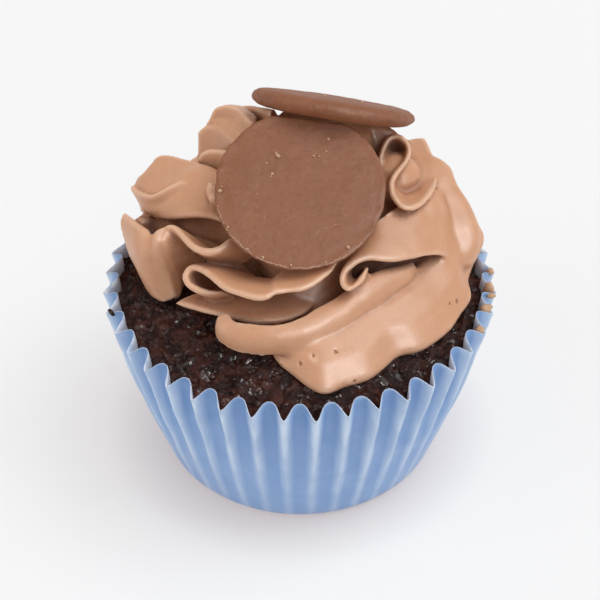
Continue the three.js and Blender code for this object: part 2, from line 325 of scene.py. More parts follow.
chocolateTones = {
    "base": [(0.215, 0.075, 0.029), (0.30, 0.111, 0.048)],
    "bloom": (0.5, (0.32, 0.126, 0.066)),
    "smears": (0.36, (0.37, 0.165, 0.11)),
    "blots": (0.35, (0.15, 0.048, 0.019)),
    # painted shade: darker in the small pits
    "pits": (0.6, (0.10, 0.036, 0.017)),
}


def chocolateLook():  # moulded milk chocolate: dull bloom, fine grain, rubbed smears and small pits painted darker as shade
    shader = Shader("milkChocolate")
    bloom = shader.ramp(shader.noise(3.8, 5, 0.6), (0.38, 0), (0.66, 1))
    grain = shader.noise(0.35, 4, 0.65)
    lumps = shader.noise(1.5)
    # small pits: sunk in the relief and painted darker, a painted shade
    pits = shader.ramp(shader.cells(1.4), (0.03, 1), (0.09, 0))
    smears = shader.ramp(shader.noise(1.3, 4, 0.65), (0.56, 0), (0.70, 1))
    blots = shader.ramp(shader.noise(0.8, 5, 0.7), (0.5, 0), (0.66, 1))
    colour = shader.mix(grain, *chocolateTones["base"])
    colour = shader.coats(colour, chocolateTones, bloom=bloom, smears=smears, blots=blots, pits=pits)
    relief = shader.relief((lumps, 0.2, 0.4), (grain, 0.45, 0.09), (1 - pits, 0.5, 0.12))
    return shader.finish(Base_Color=colour, Roughness=0.50 + 0.18 * bloom, Normal=relief,
                         Specular_IOR_Level=0.35)


def crumbLook(name, dark, light, roughness):
    shader = Shader(name)
    grain = shader.noise(0.3, 3, 0.7)
    colour = shader.mix(grain, dark, light)
    relief = shader.relief((grain, 0.5, 0.1))
    return shader.finish(Base_Color=colour, Roughness=roughness + 0.1 * grain, Normal=relief)


table = {
    "size": 4,  # metres
    "tones": [(0.333, 0.384, 0.423), (0.343, 0.394, 0.433)],
    "glowWithPaintedShadow": [(0.40, 0.33, 0.295), (0.575, 0.527, 0.493)],  # beside the case, a painted shadow, and in the open
    "beside": 15,
}


def tableLook():  # white and glowing a little, so that shadows stay faint; its glow is painted darker at the foot of the case, a painted shadow
    shader = Shader("paleTable")
    colour = shader.mix(shader.noise(200, 2), *table["tones"])
    # painted shadow: the glow is dimmed beside the case
    near = shader.node("AmbientOcclusion", {"samples": 8}, {"Distance": table["beside"] * mm}, "AO")
    glowWithPaintedShadow = shader.mix(shader.ramp(near, (0.45, 0), (0.9, 1)), *table["glowWithPaintedShadow"])
    return shader.finish(Base_Color=colour, Roughness=0.6, Specular_IOR_Level=0.3, Emission_Color=glowWithPaintedShadow,
                         Emission_Strength=1)


case = {
    "pleats": 40,
    "bottom": [(9, 0), (19, 0), (24.4, 0), (25.3, 0.4), (25.9, 1.2)],  # radius and height, out to the heel
    "foot": (26.3, 2.4),
    "ridgeTop": (35.8, 35.0),
    "foldTop": (33.3, 36.8),
    "belly": 0.5,  # how far the wall bows out at half its height
    "rows": 20,
    "across": [0, 0.17, 0.34, 0.5, 0.64, 0.77, 0.89, 1],  # from an inner fold to a ridge
    "foldCurve": 1.35,  # how the fold's depth falls off towards a ridge
    "footDepth": 0.2,  # the folds' depth at the foot, as a share of that at the rim
    "growth": 0.8,  # how soon they deepen above it
    "paper": 0.22,
    "wobble": (9, 0.7),  # size and height
    "wobbleFull": 20,  # the height from which the wall wobbles fully
    "weld": 0.02,
}
pleatAngle = 360 / case["pleats"]
slack = 0.1  # degrees or millimetres within which corners count as in one place


def wallPoint(reach, across):  # reach runs from the foot to the rim, across from an inner fold to a ridge
    growth = case["footDepth"] + (1 - case["footDepth"]) * reach ** case["growth"]
    depth = (1 + math.cos(math.pi * across ** case["foldCurve"])) / 2 * growth
    radius, height = case["foot"]
    topRadius = case["ridgeTop"][0] + (case["foldTop"][0] - case["ridgeTop"][0]) * depth
    topHeight = case["ridgeTop"][1] + (case["foldTop"][1] - case["ridgeTop"][1]) * depth
    belly = case["belly"] * math.sin(math.pi * reach)
    return radius + (topRadius - radius) * reach + belly, height + (topHeight - height) * reach


def acrossAt(co):  # 0 on an inner fold, 1 on a ridge
    turns = (azimuthOf(co) + 90) / pleatAngle
    return 1 - abs(2 * (turns % 1) - 1)


def addCrease(azimuth, across):  # a chain of edges from the bottom out and up to the rim
    rows = case["bottom"] + [wallPoint(k / case["rows"], across) for k in range(case["rows"] + 1)]
    corners = [polar(azimuth, radius, height) for radius, height in rows]
    bpy.ops.mesh.select_all(action="DESELECT")
    bpy.ops.mesh.primitive_circle_add(vertices=3, radius=slack * mm, location=corners[0])
    bpy.ops.mesh.merge(type="CENTER")
    for before, after in zip(corners, corners[1:]):
        bpy.ops.mesh.extrude_vertices_move(TRANSFORM_OT_translate={"value": after - before})


def buildCase():
    bpy.ops.object.select_all(action="DESELECT")
    bpy.ops.mesh.primitive_circle_add(vertices=3, radius=mm)
    piece = bpy.context.object
    editAll(piece)
    bpy.ops.mesh.delete(type="VERT")
    creases = [-90 + across * pleatAngle / 2 for across in case["across"]]
    for azimuth, across in zip(creases, case["across"]):
        addCrease(azimuth, across)
    for left, right in zip(creases, creases[1:]):
        selectVertices(piece, lambda co: left - slack < azimuthOf(co) < right + slack)
        bpy.ops.mesh.bridge_edge_loops()
    bpy.ops.mesh.select_all(action="SELECT")
    bpy.ops.mesh.duplicate()
    bpy.ops.transform.resize(value=(-1, 1, 1), center_override=(0, 0, 0))  # the pleat's other half
    bpy.ops.mesh.select_all(action="SELECT")
    bpy.ops.mesh.spin(steps=case["pleats"], dupli=True, angle=2 * math.pi, center=(0, 0, 0), axis=(0, 0, 1))
    bpy.ops.mesh.select_all(action="SELECT")
    bpy.ops.mesh.remove_doubles(threshold=case["weld"] * mm)
    selectVertices(piece, lambda co: co.xy.length < (case["bottom"][0][0] + slack) * mm)
    bpy.ops.mesh.edge_face_add()
    faceOutwards()
    doneEditing()
    wall = piece.vertex_groups.new(name="wall")
    for vertex in piece.data.vertices:
        wall.add([vertex.index], min(1, vertex.co.z / (case["wobbleFull"] * mm)), "REPLACE")
    roughen(piece, "wobble", case["wobble"], "wall")
    modify(piece, "SOLIDIFY", thickness=case["paper"] * mm, offset=-1)
    applyModifiers(piece)
    markPaper(piece)
    return finishPiece(piece, "blue_paper_case", paperLook(), "paper", "paper_case")


def markPaper(piece):  # what the paper's colour follows: how near a ridge, and which face
    vertices = piece.data.vertices
    outward = [vertex.co.x * vertex.normal.x + vertex.co.y * vertex.normal.y for vertex in vertices]
    paint(piece, "ridge", [acrossAt(vertex.co) for vertex in vertices])
    paint(piece, "inside", [float(side < 0) for side in outward])


sponge = {
    "pull": 0.45,  # how far it stands off the paper
    "wall": [0.12, 0.5, 0.86, 0.93],
    "edge": 33.4,
    "top": 41.2,
    "radius": 32.7,
    "dome": [32.5, 31, 28, 23, 17, 9, 2],
    "perPleat": 8,  # sides of its outline for each pleat
    "near": (0.01, 0.05),  # in height and across a pleat: corners that are moved together
    "voxel": 0.5,
    "fineFrom": (33, 13),  # height and radius from which the mesh is twice as fine
    "slope": (1.5, 0.3),  # only what faces up, and so rises out of the paper, is rough
    "lumps": (5.0, 1.6),  # size and height of each relief
    "crumbs": (2.0, 2.4),
    "grains": (0.8, 0.8),
}


def cakeTop(radius):
    share = min(radius / sponge["radius"], 1)
    return sponge["top"] + (sponge["edge"] - sponge["top"]) * share * share


def ringed(rings, sides):  # a solid of rings, each a radius and a height, left in edit mode
    bpy.ops.object.select_all(action="DESELECT")
    radius, height = rings[0]
    bpy.ops.mesh.primitive_circle_add(vertices=sides, radius=radius * mm, fill_type="NGON",
                                      location=(0, 0, height * mm))
    piece = bpy.context.object
    bpy.ops.object.transform_apply(location=True)
    editAll(piece)
    for nextRadius, nextHeight in rings[1:]:
        bpy.ops.mesh.extrude_region_move(TRANSFORM_OT_translate={"value": (0, 0, (nextHeight - height) * mm)})
        grow = nextRadius / radius
        bpy.ops.transform.resize(value=(grow, grow, 1), center_override=(0, 0, nextHeight * mm))
        radius, height = nextRadius, nextHeight
    return piece


def buildCake():
    rings = [(case["foot"][0] - 2 * sponge["pull"], sponge["pull"])]
    rings += [(wallPoint(reach, 1)[0] - sponge["pull"], wallPoint(reach, 1)[1]) for reach in sponge["wall"]]
    rings += [(radius, cakeTop(radius)) for radius in sponge["dome"]]
    piece = ringed(rings, case["pleats"] * sponge["perPleat"])
    for reach in sponge["wall"]:
        pressPleats(piece, reach)
    faceOutwards()
    doneEditing()
    modify(piece, "REMESH", mode="VOXEL", voxel_size=sponge["voxel"] * mm)
    applyModifiers(piece)
    height, radius = sponge["fineFrom"]
    editAll(piece)
    selectVertices(piece, lambda co: co.z > height * mm and co.xy.length > radius * mm)
    bpy.ops.mesh.subdivide()
    doneEditing()
    top = piece.vertex_groups.new(name="top")
    gain, least = sponge["slope"]
    for vertex in piece.data.vertices:
        top.add([vertex.index], min(1, max(0, vertex.normal.z * gain - least)), "REPLACE")
    for name in ("lumps", "crumbs", "grains"):
        roughen(piece, name, sponge[name], "top", 3)
    applyModifiers(piece)
    print("cake faces:", len(piece.data.polygons))
    return finishPiece(piece, "dark_sponge", spongeLook(), "sponge", "cake")


def pressPleats(piece, reach):  # draws one ring of the wall in where the paper folds in
    ridge = wallPoint(reach, 1)
    for side in range(sponge["perPleat"] // 2):
        across = 2 * side / sponge["perPleat"]
        radius, height = wallPoint(reach, across)
        shrink = (radius - sponge["pull"]) / (ridge[0] - sponge["pull"])

        def onFold(co):
            off = (abs(co.z / mm - ridge[1]), abs(acrossAt(co) - across))
            return off[0] < sponge["near"][0] and off[1] < sponge["near"][1]

        selectVertices(piece, onFold)
        bpy.ops.transform.resize(value=(shrink, shrink, 1), center_override=(0, 0, 0))
        bpy.ops.transform.translate(value=(0, 0, (height - ridge[1]) * mm))


button = {
    "rings": {  # radius and height from the underside to the upper side
        "front": [  # domed below, flat above, with the fin that the mould leaves
            (2, -1.8), (5, -1.79), (8, -1.72), (10.5, -1.5), (12.3, -1.1), (13.5, -0.5), (14.2, 0.2),
            (14.45, 0.9), (14.6, 1.2), (14.95, 1.36), (14.9, 1.6), (14.45, 1.7), (13.6, 1.66), (12, 1.76),
            (9, 1.8), (5, 1.8), (2, 1.8),
        ],
        "back": [(2, -1.9), (8, -1.88), (12, -1.72), (13.7, -1.3), (14.6, -0.6), (14.85, 0.1), (14.55, 0.85),
                 (13.7, 1.4), (12, 1.7), (8, 1.85), (2, 1.9)],
    },
    "sides": 160,
    "voxel": 0.22,
    "front": {"centre": (0, -3, 58.7), "lean": 29, "roll": 0},
    "back": {"centre": (5.9, 16.7, 62.35), "lean": -34, "roll": 10.8},
    "flat": {"towards": 82, "at": 13.3},  # the front one's straight side
    "smooth": 6,
    "wave": (8.0, 0.4),  # size and height of each unevenness
    "dimples": (1.3, 0.09),
    "nicks": (1.9, 0.5),  # on the rim only
    "rim": 14.3,
    "over": 2,  # from its middle out over its face
}


def buildButton(side):
    piece = ringed(button["rings"][side], button["sides"])
    faceOutwards()
    if side == "front":
        turn = math.radians(button["flat"]["towards"])
        towards = Vector((math.cos(turn), math.sin(turn), 0))
        bpy.ops.mesh.bisect(plane_co=towards * button["flat"]["at"] * mm, plane_no=towards, use_fill=True,
                            clear_outer=True)
    doneEditing()
    modify(piece, "REMESH", mode="VOXEL", voxel_size=button["voxel"] * mm)
    modify(piece, "SMOOTH", iterations=button["smooth"])
    applyModifiers(piece)
    rim = piece.vertex_groups.new(name="rim")
    for vertex in piece.data.vertices:
        if vertex.co.xy.length > button["rim"] * mm:
            rim.add([vertex.index], 1, "REPLACE")
    for name, group in (("wave", ""), ("dimples", ""), ("nicks", "rim")):
        roughen(piece, name + side, button[name], group)
    modify(piece, "SMOOTH", iterations=1)
    applyModifiers(piece)
    place = button[side]
    piece.rotation_euler = (math.radians(place["lean"]), math.radians(place["roll"]), 0)
    piece.location = Vector(place["centre"]) * mm
    return finishPiece(piece, "chocolate_button_" + side, chocolateLook(), "milk_chocolate", "button_" + side)


lip = {  # the frosting's lowest edge: azimuth, radius, height
    "front": [
        (-150, 12.5, 39.8), (-125, 14, 39.8), (-108, 19, 39.6), (-101, 24, 38.6), (-94, 26.3, 37.6),
        (-87, 29.3, 36.9), (-82, 30.9, 36.6), (-75, 30, 36.8), (-66, 29.8, 37), (-58, 28.6, 37.2),
        (-51, 28, 37.4), (-44, 29.6, 37.4), (-34, 30.4, 37.4), (-20, 31.1, 37.5), (-13, 31.7, 37.8),
        (-6, 30.8, 38.3), (1.5, 31.8, 39.1), (9, 34.4, 40.6), (14, 34.4, 41), (32, 33, 40.5),
    ],
    "left": [(158, 31, 41.5), (173, 28, 40.4), (180, 20, 39.8)],
    "back": {"from": 42, "to": 150, "crestAt": 38, "waveLength": 24, "radius": 30.2, "wave": 1, "height": 40},
}
mound = {
    "columns": 240,
    "foot": 30.5,
    "sunk": 1.0,
    "under": 2.6,  # how far inside the lip its foot lies
    "behind": 2.2,  # how far inside the crest the hollow lies
    "lip": [(-0.3, -0.6), (0, 0), (-0.4, 0.8), (-1.4, 1.7)],  # its rounding
    "slope": [(0.35, 0.62), (0.7, 0.92)],  # shares of the way from the lip in and up to the crest
    "dip": 0.75,  # how near the hollow's height it stays halfway to the core
    "bottom": (6, 37),
    "coreTop": [(7.5, 55.5), (4, 57.3)],
    "rows": [  # azimuth, crest radius and height, hollow's height, core's radius and height
        (-150, 11, 43, 42, 10, 46),
        (-125, 12, 42, 41, 10, 46),
        (-105, 18, 41.5, 39.5, 11, 46),
        (-90, 21, 42.3, 39.2, 11, 46),
        (-57, 18.5, 43.6, 40.0, 11, 46.5),
        (-36, 19.3, 44.2, 41.0, 11, 48.5),
        (-20, 21.4, 44.6, 42.5, 12, 50.5),
        (-8, 24.3, 45.8, 45.2, 13, 51),
        (2, 24.8, 47.4, 47.4, 13, 52),
        (12, 25, 49, 49.4, 14, 53),
        (25, 26, 50.4, 50.6, 15, 54),
        (40, 27, 52, 51, 15, 56),
        (55, 27, 47.5, 48, 16, 58),
        (100, 27, 46.5, 47, 16, 58),
        (140, 25.5, 50, 49, 14, 55),
        (162, 25, 48.5, 47.5, 13, 52),
        (172, 23, 46, 45, 12, 50),
        (180, 15, 44.5, 43.5, 11, 48),
    ],
}
coneSides = 24
cones = {  # what fills the swirl: centre, then radius and height of each ring
    "peak": {"centre": (4, 14.5), "rings": [(12, 50), (10.5, 56), (8.5, 60), (4.5, 63)]},
    "curlFloor": {"centre": (17, 8.4), "rings": [(6, 48), (4.5, 54.5), (3, 56.6), (1, 57.2)]},
    "curlMouth": {"centre": (21.5, 3), "rings": [(6, 46), (4.5, 51), (3, 52.6), (1, 53.2)]},
}
folds = {  # each a sheet from its free edge down to its root: azimuth, radius, height
    "band": {
        "edge": [
            (-126, 22.2, 44.1), (-122.5, 22.2, 44.6), (-119.5, 23, 44.4), (-110, 22.4, 44.4),
            (-103.5, 22.2, 44.6), (-97, 21.4, 44.8), (-90, 20.2, 45), (-82, 18.5, 45.2), (-72.5, 17.3, 45.5),
            (-63, 16.6, 46), (-53, 16.3, 46.8), (-43.5, 16.5, 47.2), (-36, 17.2, 47.2), (-28, 18.4, 46.4),
            (-20, 19.6, 44.8),
        ],
        "root": [
            (-127, 22.1, 42.6), (-126.5, 23.1, 41.4), (-123, 24, 40.6), (-115.5, 24.4, 40.2),
            (-110, 24.1, 40.2), (-103, 23.7, 40.4), (-95, 23.1, 40.8), (-86.5, 22.4, 41.4),
            (-77.5, 21.3, 42), (-68, 20.2, 42.6), (-57.5, 19.4, 43), (-47, 19.3, 43.6), (-36.5, 19.6, 44),
            (-27, 20.5, 44.2), (-19, 21.5, 44.2),
        ],
        "lip": 1.2, "base": 3.4, "bulge": 1.2, "steps": 100,
    },
    "wedge": {
        "edge": [
            (-150, 25.6, 41.5), (-140, 23.4, 41.8), (-132.5, 22.2, 42), (-125.5, 21.3, 42.2),
            (-115.5, 20.7, 42.3), (-106, 19.8, 42.4), (-96.5, 18.4, 42.3), (-89, 16.6, 42),
            (-80, 14.2, 41.8), (-70, 11, 41.6),
        ],
        "run": 9, "rise": (0.5, 0.5), "lip": 1.3, "base": 2.6, "steps": 60,
    },
    "loop": {
        "edge": [
            (-133, 19.9, 46.2), (-136, 21.4, 46.2), (-139, 22.5, 46.3), (-143.5, 23.5, 46.5),
            (-147, 23.9, 46.9), (-150, 23.4, 47.5), (-150.5, 22.3, 48.1), (-147, 21.4, 48.5),
            (-140, 21.2, 48.9), (-132.5, 21.7, 49.2), (-125.5, 22.3, 49.4), (-118.5, 22.3, 49.6),
            (-112.5, 22.2, 49.6), (-108, 21.9, 49.6), (-105, 21.5, 49.8), (-102.5, 20.4, 50),
            (-96, 19.6, 50), (-89, 19.2, 50.2), (-83, 18.5, 50.5), (-77, 17.6, 50.9), (-70, 16.4, 51.3),
            (-64, 14.9, 51.7),
        ],
        "run": 9, "rise": (-7, -1.5), "lip": 1.1, "base": 1.8, "bulge": -0.8, "steps": 110,
    },
    "curl": {
        "edge": [
            (-5, 27.4, 42), (-10.5, 26.5, 45), (-16.5, 25, 47.4), (-22, 23, 48.6), (-28.5, 21.2, 49.3),
            (-33.5, 20.1, 49.7), (-38.5, 18.6, 50.2), (-43, 17.1, 50.6), (-49, 16.2, 50.8),
            (-56.5, 16.1, 50.8), (-63, 16.6, 50.4), (-66, 17.7, 49.8), (-66.5, 19, 49.4),
            (-64.5, 19.8, 49.2), (-61, 19.5, 49.2), (-56.5, 18.8, 49.3), (-52, 18, 49.5),
            (-46.5, 17.1, 49.7),
        ],
        "root": [
            (22, 28, 46), (18.5, 27, 49.2), (14.5, 25, 51.6), (10, 23.2, 52.4), (3, 20.2, 53.2),
            (-4, 16.6, 53.2), (-17, 14, 52.4), (-27, 11.9, 48.5), (-30, 10.1, 43), (-38, 11.4, 41),
            (-35, 12.4, 41), (-21, 12.3, 42),
        ],
        "lip": 1.2, "base": 1.8, "steps": 100,
    },
    "doubleCurl": {
        "edge": [
            (25, 15.5, 56.6), (30, 16.7, 57.8), (33.5, 18, 58.8), (35, 19.2, 59.6), (34.5, 20.4, 60),
            (32.5, 21.2, 60), (29, 21.6, 59.6), (25, 21.5, 59.1), (21, 20.7, 58.6), (17, 19.4, 58.2),
            (12.5, 17.7, 57.8), (7.5, 16.5, 57.4), (1.5, 16, 57), (-4.5, 16.3, 56.5), (-8.5, 17.2, 56),
            (-10.5, 18.3, 55.5), (-9.5, 19.6, 55.1), (-6, 20.9, 54.8), (-0.5, 22.2, 54.5), (5, 23.5, 54.3),
            (11.5, 25, 54.1), (16, 25.9, 54),
        ],
        "root": [
            (41, 18.8, 51), (44, 21.1, 51.5), (44, 22.9, 52), (43, 24.2, 52.5), (39.5, 24.1, 52.5),
            (36.5, 22.4, 52), (34.5, 20.9, 51.5), (29, 20.1, 51), (22.5, 19.9, 51), (18.5, 20.9, 51.4),
            (19, 22.6, 51.9), (20.5, 25, 52.2),
        ],
        "lip": 1.0, "base": 1.8, "steps": 120,
    },
    "petal": {
        "edge": [
            (-145, 14.9, 53), (-143, 16.6, 52.9), (-143, 18.2, 52.6), (-145.5, 19.6, 52.3),
            (-149.5, 20.6, 52.1), (-153.5, 21.2, 52), (-159.5, 21.6, 51.9), (-165.5, 22.1, 51.8),
            (-169, 22.7, 51.8), (-171.5, 23.7, 51.6), (-171, 24.7, 51),
        ],
        "run": 5, "rise": (-5.5, -5.5), "gather": 0.2, "lip": 1.3, "base": 2.4, "steps": 70,
    },
    "lobeFront": {
        "edge": [
            (183.6, 26.7, 48.8), (189.1, 26.2, 48.6), (191.5, 26, 46.9), (192.4, 25.8, 44.9),
            (193.9, 25.3, 42.5), (196, 24.9, 40.1), (199.2, 24.6, 38.1),
        ],
        "middle": [
            (176.3, 29.8, 48.6), (181.8, 28.9, 48.8), (186, 28.7, 48), (189, 28.6, 46.2),
            (190.2, 28.2, 43.8), (192.7, 27.5, 41.4), (195.4, 26.7, 39.2), (199.2, 25.6, 37.8),
        ],
        "root": [
            (170.5, 32.2, 47.2), (172.5, 31.8, 45.5), (175, 31, 43.5), (178, 30, 41.5), (182, 28.7, 39.8),
            (188, 27.3, 38.2), (196.5, 25.8, 37.4),
        ],
        "lip": 1.3, "base": 2.2, "steps": 70,
    },
    "lobeSide": {
        "edge": [
            (188.4, 23.2, 51.4), (190, 24.5, 51), (192.6, 25.3, 50), (193.4, 24.7, 47.4),
            (194.2, 23.8, 44.2), (196.2, 23.2, 41.2), (199.7, 23.2, 38.8),
        ],
        "root": [
            (188, 25.7, 48.8), (189.6, 26.1, 47.6), (190.3, 26.2, 46), (191.3, 26, 44), (192.6, 25.6, 41.6),
            (195.2, 25.2, 39.4), (198.8, 24.9, 37.8),
        ],
        "lip": 1.3, "base": 2.2, "bulge": 0.5, "steps": 70,
    },
    "lobeInner": {
        "edge": [
            (188.4, 23.2, 51.2), (190, 24.4, 50.8), (192.6, 25.2, 49.8), (193.4, 24.6, 47.2),
            (194.2, 23.8, 44.2), (196.2, 23.2, 41.2), (199.7, 23.2, 38.8),
        ],
        "root": [
            (186.5, 16.7, 45), (184.7, 17.7, 42), (185.8, 19.5, 39.8), (188.9, 21.2, 38.6),
            (192.8, 22.7, 37.8), (197.5, 23.8, 37.4),
        ],
        "lip": 1.2, "base": 2.2, "bulge": -0.4, "steps": 60,
    },
    "lobeBack": {
        "edge": [(173, 29, 46.6), (173, 30.5, 45), (175, 30.2, 43), (187, 27.4, 38.4), (195, 25.4, 37.6)],
        "root": [(160, 24, 45.6), (162, 26, 44), (166, 26, 42), (176, 23, 39.5), (183, 20, 39)],
        "lip": 2.6, "base": 4, "steps": 24,
    },
    "horn": {
        "edge": [
            (154.4, 33.1, 47.5), (158, 31.7, 47.1), (162.5, 29.9, 47.1), (166.5, 27.9, 47.4),
            (171, 25.7, 48.1), (177, 23.3, 48.9), (182.5, 20.3, 50), (187, 17.5, 51), (194, 13.5, 51.3),
        ],
        "middle": [
            (154.4, 32.8, 48.1), (158, 31.5, 48.6), (162, 30, 49.1), (166.3, 28, 49.7), (168.4, 26.2, 50.3),
            (168, 24.7, 51.2), (166.5, 23.3, 52.2), (164, 21.9, 53.3), (161, 20.5, 54), (161, 17.5, 54),
            (166, 14, 53.4),
        ],
        "root": [
            (153.2, 32.7, 48.2), (152.8, 31.2, 48.9), (151, 30.9, 49.6), (148.2, 30.7, 50.2),
            (147, 29.6, 51), (146.8, 27.2, 51.8), (148, 24, 52.6), (149, 20, 53), (151, 16, 53),
            (156, 12, 53),
        ],
        "lip": 1.5, "base": 2.4, "steps": 90,
    },
    "hornCrest": {
        "edge": [
            (159, 33, 48.2), (162, 32.3, 49.5), (165, 31.1, 50.4), (168, 29.4, 51.2), (170.3, 27.4, 51.9),
            (170, 25.7, 52.8), (168.5, 24, 53.8), (166, 22, 54.6), (164.5, 19.4, 54.5),
        ],
        "run": 3.4, "rise": (-3.2, -3.2), "lip": 0.9, "base": 4.2, "steps": 50,
    },
    "facet": {
        "edge": [
            (41, 25.2, 54.6), (41, 26.6, 54.4), (40, 27.9, 54.2), (39, 29.1, 54), (35.5, 28.7, 53.8),
            (31, 27.9, 53.6), (26.5, 27.3, 53.4), (18, 26.4, 53),
        ],
        "root": [(36, 22, 54), (28, 21, 53), (22.3, 20.8, 52.5), (17.4, 23.7, 52)],
        "lip": 1.8, "base": 3, "steps": 40,
    },
    "shoulder": {
        "edge": [
            (32, 27.2, 52.4), (29.5, 28.8, 52.4), (27.1, 29.8, 52.1), (25.2, 30.4, 51.4), (21.8, 30.2, 50.8),
            (19, 30.2, 50.1), (17, 30.9, 49), (13.6, 31.7, 47.8), (9.8, 32.3, 46.6), (6.7, 32.8, 45.4),
            (3.6, 33, 43.6), (0, 32.2, 42), (-4, 31, 41),
        ],
        "run": 7, "rise": (-1.2, -1.2), "lip": 5.2, "base": 6.6, "steps": 60,
    },
    "backCrest": {
        "edge": [
            (95, 17, 60.5), (75, 17.5, 60.6), (63, 18, 60.5), (54, 18.9, 60.4), (46, 20.7, 60),
            (40.5, 21.9, 59.4), (35.5, 22.8, 58),
        ],
        "run": 5, "rise": (-6, -6), "turn": 6, "lip": 2, "base": 5, "steps": 40,
    },
    "ribLow": {
        "edge": [
            (146, 22.2, 53.8), (143.5, 22.4, 54.6), (141.5, 21.4, 55.4), (139.5, 19.4, 56),
            (138, 17.4, 56.4), (136.5, 14.8, 56.4),
        ],
        "run": 4, "rise": (-8.5, -8.5), "turn": 5, "lip": 1.3, "base": 4.4, "steps": 40,
    },
    "ribBroad": {
        "edge": [
            (129.7, 28.6, 53.2), (128.5, 27.8, 54.2), (126.6, 26.5, 55), (126.2, 24.1, 55.8),
            (127, 21.2, 56.6), (128.3, 18, 57.4), (130, 15, 58),
        ],
        "root": [
            (127, 28.2, 54), (124.5, 29, 54.8), (122, 29.2, 56), (119.5, 27.6, 57.4), (117.5, 24.6, 58.6),
            (116.7, 21, 59.6), (117.6, 17.9, 60),
        ],
        "lip": 1.4, "base": 2.4, "bulge": 0.9, "steps": 50,
    },
    "ribUnder": {
        "edge": [
            (130.6, 28.8, 52.9), (129, 28, 54.1), (127.2, 26.4, 55.1), (126.6, 24, 55.9),
            (127.2, 20.8, 56.6), (128.6, 17.5, 57.2),
        ],
        "run": 3, "rise": (-8.5, -8.5), "turn": 6, "lip": 1.4, "base": 4, "steps": 40,
    },
    "ribLast": {
        "edge": [
            (115, 26.2, 57.4), (112, 24.6, 58.4), (108.4, 21.9, 59.4), (104.9, 19.8, 60.2),
            (100.9, 17.1, 60.8), (96, 14.9, 61), (88, 14, 61),
        ],
        "run": 3, "rise": (-8.5, -8.5), "turn": 5, "lip": 1.8, "base": 4.4, "steps": 40,
    },
    "nub": {
        "edge": [(169.8, 16.5, 56.5), (174.4, 16.7, 55.5), (182, 15.9, 55)],
        "run": 3, "rise": (-1, -1), "turn": 3, "lip": 2.4, "base": 3, "steps": 20,
    },
}
ruffle = {  # radius and height: their middle, their wave and where it crests
    "from": 40, "to": 134, "waveLength": 24, "radius": (29.3, 1.6, 51), "height": (49.3, 1.3, 45),
    "sheet": {"run": 9, "rise": (-1, -1), "lip": 2.2, "base": 5, "steps": 90},
}
sheet = {  # what all folds share
    "shares": [0, 0.14, 0.28, 0.42, 0.56, 0.7, 0.85, 1],  # rows of its section from the root to the edge
    "nose": (-45, 0, 45),  # those of its rounded edge, in degrees
    "rootPull": 0.6,  # how much the root turns the section, against the edge
    "ends": 0.08,  # the share of its length over which each end thins out
    "thin": 0.4,
    "swell": 0.6,  # how its thickness changes from the base to the lip
}
cream = {  # the mesh of the joined frosting
    "voxel": 0.33,
    "smooth": 5,
    "keep": 0.62,  # the share of its faces
    "waves": (6.0, 0.35),  # size and height of each relief
    "ripples": (1.8, 0.06),
    "soft": {  # what is smoothed further: the share, then azimuths, radii and heights from, full, last, to
        "shoulder": (1, (-38, -22, 18, 30), (22, 24, 40, 50), (30, 32, 60, 62)),
        "horn": (0.12, (140, 148, 175, 185), (15, 19, 40, 50), (45.6, 46.6, 60, 62)),
        "bandFoot": (0.5, (-126, -120, -98, -92), (21, 22.5, 40, 50), (36, 37, 41.4, 42.6)),
        "apron": (0.7, (-98, -92, -36, -28), (22.5, 24.5, 31, 33), (33, 34.5, 44, 46)),
        "lobe": (0.22, (-177, -173, -162, -158.5), (20, 21.5, 25.8, 27.5), (38, 39.5, 48.5, 50.5)),
    },
    "softer": (0.6, 36),  # factor and rounds of that smoothing
    "bend": 0.4,  # how much a bend of 1 mm radius is marked
    "evened": 3,
    "rays": {"count": 14, "reach": 12, "start": 0.15, "spread": 0.98},  # what feels for other folds
    "gap": {"centre": (1.5, 15.5, 60.8), "half": (7.5, 6.6, 5)},  # the dark hollow between the two buttons
    "raised": 0.2,  # a bubble's centre over the surface, as a share of its size
    "bubbles": [  # azimuth, radius, height, size
        (-96.8, 24.7, 38, 0.42), (-88.8, 25.4, 39, 0.34), (-84, 24.7, 39, 0.3), (-76.3, 24.9, 40, 0.3),
        (-77.2, 18.9, 42, 0.32), (-71.6, 29, 37, 0.3), (-57.6, 16.9, 46, 0.36), (-19.4, 29.1, 39, 0.42),
    ],
}


def waveAt(azimuth, waveLength, crestAt):
    return math.cos(2 * math.pi * (azimuth - crestAt) / waveLength)


curveSteps = 24  # between two rows


def curveThrough(rows, count):  # evenly spaced points on a smooth curve through the rows
    knots = [polar(*row) for row in rows]
    knots = [2 * knots[0] - knots[1]] + knots + [2 * knots[-1] - knots[-2]]
    path = []
    for a, b, c, d in zip(knots, knots[1:], knots[2:], knots[3:]):
        before, here, after = [(end - start).length ** 0.5 for start, end in ((a, b), (b, c), (c, d))]
        leave = (c - b) + here * ((b - a) / before - (c - a) / (before + here))
        arrive = (c - b) + here * ((d - c) / after - (d - b) / (here + after))
        path += interpolate_bezier(b, b + leave / 3, c - arrive / 3, c, curveSteps)[:-1]
    path.append(knots[-2])
    lengths = [0]
    for a, b in zip(path, path[1:]):
        lengths.append(lengths[-1] + (b - a).length)
    points = []
    k = 0
    for step in range(count):
        wanted = lengths[-1] * step / (count - 1)
        while k + 2 < len(lengths) and lengths[k + 1] < wanted:
            k += 1
        points.append(path[k].lerp(path[k + 1], (wanted - lengths[k]) / (lengths[k + 1] - lengths[k])))
    return points


